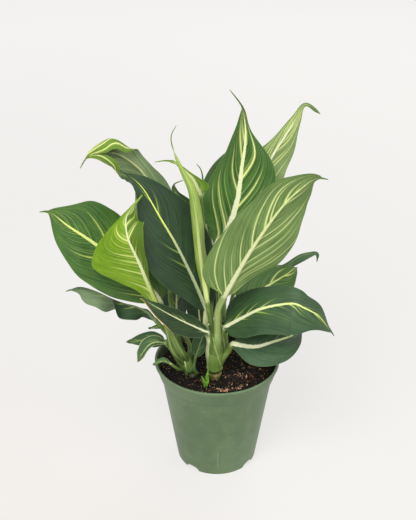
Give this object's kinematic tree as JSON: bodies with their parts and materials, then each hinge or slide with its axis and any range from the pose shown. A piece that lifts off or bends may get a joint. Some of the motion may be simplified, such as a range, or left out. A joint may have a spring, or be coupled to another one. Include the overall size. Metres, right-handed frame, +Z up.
{
  "type": "potted dieffenbachia",
  "caption": "Potted leafy house plant: broad pointed leaves with pale midribs on short green canes, in a tapered plastic nursery pot filled with soil.",
  "frame": {"origin": "centre of the pot's flat base, on the surface it stands on", "axes": "+Z up along the pot's axis, -Y towards the front of the plant, +X to its right"},
  "size_m": [0.3205, 0.2014, 0.4633],
  "materials": {
    "pot_plastic": "satin sage green moulded plastic",
    "soil": "moist dark potting mix with bark",
    "cane": "smooth pale green cane",
    "leaf": "satin dark green blade with cream midrib and veins",
    "young_leaf": "satin yellow green young blade"
  },
  "bodies": {
    "root": {"pot": "pot_plastic", "soil": "soil", "cane_front": "cane", "cane_left": "cane", "cane_back": "cane", "shoot_bright": "young_leaf", "leaf_centre_dark": "leaf", "leaf_front_right": "leaf", "leaf_right_arching": "leaf", "leaf_right_low": "leaf", "leaf_new_rolled": "young_leaf", "leaf_young_tip": "young_leaf", "leaf_front_short": "leaf", "leaf_left_large": "leaf", "leaf_left_young": "young_leaf", "leaf_upper_left": "leaf", "leaf_left_low": "leaf", "leaf_left_small": "leaf", "leaf_left_thread": "leaf", "leaf_left_arched": "leaf", "leaf_soil_narrow": "leaf", "leaf_inner_small": "leaf", "leaf_back_left": "leaf", "leaf_top_centre": "leaf", "leaf_upper_right": "leaf", "leaf_back_rounded": "leaf", "leaf_back_slender": "leaf", "leaf_right_back": "leaf", "leaf_right_behind": "leaf", "leaf_behind_stem": "leaf", "leaf_rear_left": "leaf", "leaf_rear_low": "leaf", "leaf_rear_back": "leaf"}
  },
  "joints": []
}
